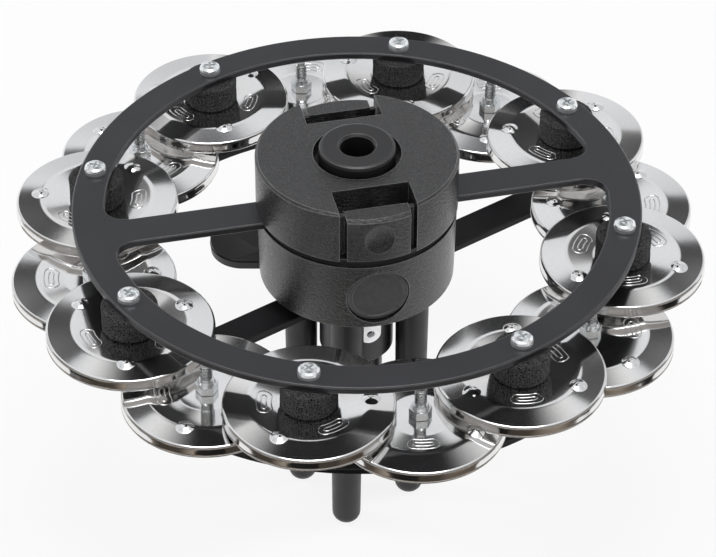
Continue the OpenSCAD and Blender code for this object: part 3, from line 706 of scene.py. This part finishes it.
def soft_sides(tree, colour, core):
    """A card colour that fades to white from the share core of its half width outward."""
    place = tree.nodes.new("ShaderNodeTexCoord")
    split = tree.nodes.new("ShaderNodeSeparateXYZ")
    tree.links.new(place.outputs["Object"], split.inputs[0])
    away = tree.nodes.new("ShaderNodeMath")
    away.operation = "ABSOLUTE"
    tree.links.new(split.outputs["X"], away.inputs[0])
    fade = tree.nodes.new("ShaderNodeMapRange")
    fade.interpolation_type = "SMOOTHSTEP"
    fade.inputs["From Min"].default_value = 0.5 * core
    fade.inputs["From Max"].default_value = 0.5
    tree.links.new(away.outputs[0], fade.inputs["Value"])
    blend = tree.nodes.new("ShaderNodeMix")
    blend.data_type = "RGBA"
    blend.inputs["A"].default_value = (*colour, 1)
    blend.inputs["B"].default_value = (0.95, 0.95, 0.95, 1)
    tree.links.new(fade.outputs["Result"], blend.inputs["Factor"])
    return blend.outputs["Result"]


def for_gloss_only(piece):
    """Hides a card from all but mirror rays."""
    piece.visible_camera = False
    piece.visible_diffuse = False
    piece.visible_shadow = False
    piece.visible_transmission = False


def room_tones(tree, colour):
    """Soft patches from darker to lighter than a colour, as a room shows in a mirror."""
    place = tree.nodes.new("ShaderNodeTexCoord")
    patches = tree.nodes.new("ShaderNodeTexNoise")
    patches.inputs["Scale"].default_value = ROOM_PATCH
    patches.inputs["Detail"].default_value = 0.0
    tree.links.new(place.outputs["Object"], patches.inputs["Vector"])
    ramp = tree.nodes.new("ShaderNodeValToRGB")
    ramp.color_ramp.elements[0].position = 0.35
    ramp.color_ramp.elements[1].position = 0.65
    ramp.color_ramp.elements[0].color = (*(0.35 * part for part in colour), 1)
    ramp.color_ramp.elements[1].color = (*(2.0 * part for part in colour), 1)
    tree.links.new(patches.outputs["Fac"], ramp.inputs["Fac"])
    return ramp.outputs["Color"]


def rising_tones(tree, colour, top):
    """A colour that grows lighter from the floor up to a height, as a wall shows in a mirror."""
    place = tree.nodes.new("ShaderNodeTexCoord")
    split = tree.nodes.new("ShaderNodeSeparateXYZ")
    tree.links.new(place.outputs["Object"], split.inputs[0])
    rise = tree.nodes.new("ShaderNodeMapRange")
    rise.inputs["From Min"].default_value = FLOOR_Z
    rise.inputs["From Max"].default_value = top
    tree.links.new(split.outputs["Z"], rise.inputs["Value"])
    ramp = tree.nodes.new("ShaderNodeValToRGB")
    ramp.color_ramp.elements[0].color = (*(0.25 * part for part in colour), 1)
    ramp.color_ramp.elements[1].color = (*(1.9 * part for part in colour), 1)
    tree.links.new(rise.outputs["Result"], ramp.inputs["Fac"])
    return ramp.outputs["Color"]


def card_paint(name, colour, core=None, room=False, top=None):
    """A glowing card colour: plain, with soft sides, in patches or rising to a height."""
    made = bpy.data.materials.new(name)
    made.use_nodes = True
    tree = made.node_tree
    tree.nodes.clear()
    out = tree.nodes.new("ShaderNodeOutputMaterial")
    glow = tree.nodes.new("ShaderNodeEmission")
    glow.inputs["Color"].default_value = (*colour, 1)
    if core is not None:
        tree.links.new(soft_sides(tree, colour, core), glow.inputs["Color"])
    if room:
        tree.links.new(room_tones(tree, colour), glow.inputs["Color"])
    if top is not None:
        tree.links.new(rising_tones(tree, colour, top), glow.inputs["Color"])
    tree.links.new(glow.outputs["Emission"], out.inputs["Surface"])
    return made


def card(name, centre, toward, width, height, colour, core=None):
    """A studio card that only polished surfaces see."""
    made = card_paint(name, colour, core)
    bm = bmesh.new()
    bmesh.ops.create_grid(bm, x_segments=1, y_segments=1, size=0.5)
    piece = make_object(name, bm, made)
    for_gloss_only(piece)
    piece.location = centre
    piece.rotation_euler = (Vector(toward) - Vector(centre)).to_track_quat("Z", "Y").to_euler()
    piece.scale = (width, height, 1)


def lamp(name, place, target, size, power, mirrored=True):
    """An area lamp, which polished surfaces show only where it is mirrored."""
    data = bpy.data.lights.new(name, "AREA")
    data.shape = "RECTANGLE"
    data.size, data.size_y = size
    data.energy = power
    made = bpy.data.objects.new(name, data)
    bpy.context.scene.collection.objects.link(made)
    made.location = place
    made.rotation_euler = (Vector(target) - Vector(place)).to_track_quat("-Z", "Y").to_euler()
    made.visible_camera = False
    made.visible_glossy = mirrored


# Camera as fitted to the photo, lengths in metres and the lens in millimetres
VIEW_AZ = math.radians(-13.14)
VIEW_EL = math.radians(39.57)
VIEW_ROLL = math.radians(0.32)
AIM = Vector((0, 0, 0.097156))
DISTANCE = 1.05938
SIDE_STEP = 0.00039
UP_STEP = -0.0296
LENS = 145.88

flat_share = math.cos(VIEW_EL)
back = Vector((math.sin(VIEW_AZ) * flat_share, -math.cos(VIEW_AZ) * flat_share, math.sin(VIEW_EL)))
level_right = Vector((math.cos(VIEW_AZ), math.sin(VIEW_AZ), 0))
level_up = back.cross(level_right)
right = level_right * math.cos(VIEW_ROLL) + level_up * math.sin(VIEW_ROLL)
up = level_up * math.cos(VIEW_ROLL) - level_right * math.sin(VIEW_ROLL)
eye = AIM + back * DISTANCE + right * SIDE_STEP + up * UP_STEP


def out_from(azimuth_deg, elevation_deg, distance):
    """A point round the object; azimuth 0 is behind it as the camera sees it, positive to the right."""
    az, el = math.radians(azimuth_deg), math.radians(elevation_deg)
    ahead = Vector((-back.x, -back.y, 0)).normalized()
    flat = ahead * math.cos(az) + level_right * math.sin(az)
    return AIM + (flat * math.cos(el) + Vector((0, 0, 1)) * math.sin(el)) * distance


def floor_card(name, across, ahead, width, depth, colour, height):
    """A card lying on the floor, placed as the camera sees it."""
    place = out_from(0, 0, ahead) + level_right * across
    place.z = FLOOR_Z + height
    card(name, place, place + Vector((0, 0, 1)), width, depth, colour)


def ring_card(name, inner, inner_side, outer, half_deg, colour, height):
    """A part of a ring lying on the floor round the front, which only polished surfaces see."""
    bm = bmesh.new()
    rows = []
    for i in range(33):
        swing = 180 - half_deg + 2 * half_deg * i / 32
        row = []
        near = inner + (inner_side - inner) * math.sin(math.radians(swing)) ** 2
        for far in (near, outer):
            place = out_from(swing, 0, far)
            row.append(bm.verts.new((place.x, place.y, FLOOR_Z + height)))
        rows.append(row)
    for one, other in zip(rows, rows[1:]):
        bm.faces.new((one[0], one[1], other[1], other[0]))
    piece = make_object(name, bm, card_paint(name, colour, room=True))
    for_gloss_only(piece)


def band_card(name, far, high_deg, half_deg, colour):
    """A band standing round the front from the floor up, which only polished surfaces see."""
    bm = bmesh.new()
    rows = []
    top = AIM.z + far * math.tan(math.radians(high_deg))
    for i in range(33):
        swing = 180 - half_deg + 2 * half_deg * i / 32
        foot = out_from(swing, 0, far)
        rows.append([bm.verts.new((foot.x, foot.y, z)) for z in (FLOOR_Z, top)])
    for one, other in zip(rows, rows[1:]):
        bm.faces.new((one[0], one[1], other[1], other[0]))
    piece = make_object(name, bm, card_paint(name, colour, top=top))
    for_gloss_only(piece)


build_world()
build_floor()
card("card_high", out_from(0, 60, CARD_FAR), AIM, 1.15, 1.22, CARD_BLACK, 0.42)
card("card_low", out_from(2, 24, CARD_FAR), AIM, 0.56, 0.86, CARD_BLACK, 0.4)
for name, swing in (("card_side_left", -20), ("card_side_right", 20)):
    card(name, out_from(swing, 40, CARD_FAR), AIM, 0.52, 0.75, SIDE_GREY, 0.25)
band_card("card_band", 2.4, 46, 105, WALL_GREY)
ring_card("card_ring", 0.10, 0.30, 0.85, 112, FLOOR_BROWN, 0.001)
floor_card("card_front_dark", -0.03, -0.27, 0.10, 0.12, FLOOR_BLACK, 0.002)
floor_card("card_right_dark", 0.28, -0.12, 0.10, 0.14, FLOOR_BLACK, 0.002)
floor_card("card_left_dark", -0.27, -0.16, 0.10, 0.14, FLOOR_BLACK, 0.002)
lamp("lamp_top", out_from(180, 84, 1.7), AIM, (0.9, 0.7), 14)
lamp("lamp_front", out_from(180, 25, 2.0), AIM, (2.2, 0.8), 14, False)
lamp("lamp_over", out_from(180, 58, 1.8), AIM, (2.4, 0.45), 13, False)
lamp("lamp_left", out_from(-80, 12, 1.6), AIM, (0.6, 1.0), 28, False)
lamp("lamp_right", out_from(80, 12, 1.6), AIM, (0.6, 1.0), 28, False)

camera_data = bpy.data.cameras.new("photo_camera")
camera_data.sensor_width = 36
camera_data.lens = LENS
camera_data.clip_start = 0.05
camera = bpy.data.objects.new("photo_camera", camera_data)
bpy.context.scene.collection.objects.link(camera)
camera.matrix_world = Matrix((
    (right.x, up.x, back.x, eye.x),
    (right.y, up.y, back.y, eye.y),
    (right.z, up.z, back.z, eye.z),
    (0, 0, 0, 1),
))
bpy.context.scene.camera = camera
bpy.context.scene.view_settings.view_transform = "Standard"
